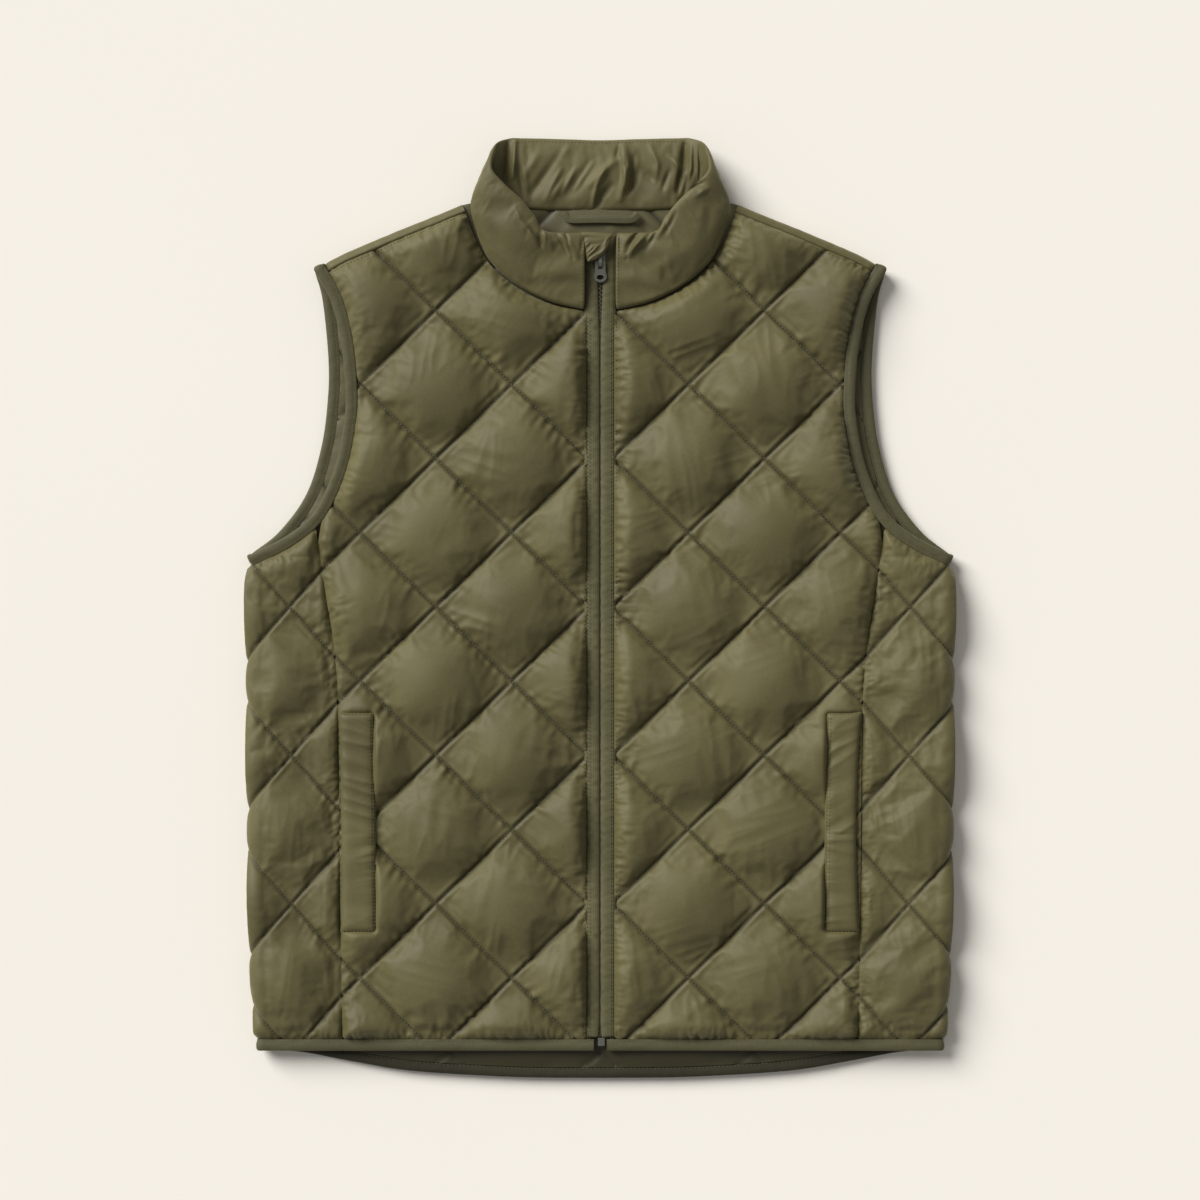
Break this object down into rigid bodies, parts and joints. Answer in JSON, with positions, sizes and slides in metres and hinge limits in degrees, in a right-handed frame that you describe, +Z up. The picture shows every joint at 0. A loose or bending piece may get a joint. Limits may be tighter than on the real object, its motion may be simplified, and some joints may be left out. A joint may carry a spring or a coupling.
{
  "type": "puffer vest",
  "caption": "Diamond-quilted sleeveless puffer vest with a padded stand collar, laid flat on its back and zipped up.",
  "frame": {"origin": "on the underside, below the middle of the outline", "axes": "+X across to the wearer's left, +Y from hem to collar, +Z up from the surface it lies on"},
  "size_m": [0.5666, 0.7518, 0.0372],
  "materials": {
    "nylon": "plain-woven nylon with a soft sheen",
    "binding": "matt stretch binding tape",
    "zip_tape": "woven zip tape",
    "metal": "grey-green enamelled die-cast metal"
  },
  "bodies": {
    "vest": {"back": "nylon", "front_left": "nylon", "front_right": "nylon", "side_left": "nylon", "side_right": "nylon", "collar": "nylon", "armhole_binding_left": "binding", "armhole_binding_right": "binding", "hem_binding_left": "binding", "hem_binding_right": "binding", "hem_binding_back": "binding", "welt_left": "nylon", "welt_right": "nylon", "zip_tape_left": "zip_tape", "zip_tape_right": "zip_tape", "zip_slider": "metal", "zip_garage": "nylon", "zip_box": "metal", "hanger_loop": "binding"},
    "pull_tab": {"pull_tab": "metal"}
  },
  "joints": [
    {"name": "tab_swing", "type": "hinge", "parent": "vest", "child": "pull_tab", "pos_m": [0, 0.2768, 0.0179], "axis": [-1, 0, 0], "range_deg": [0, 90]}
  ]
}
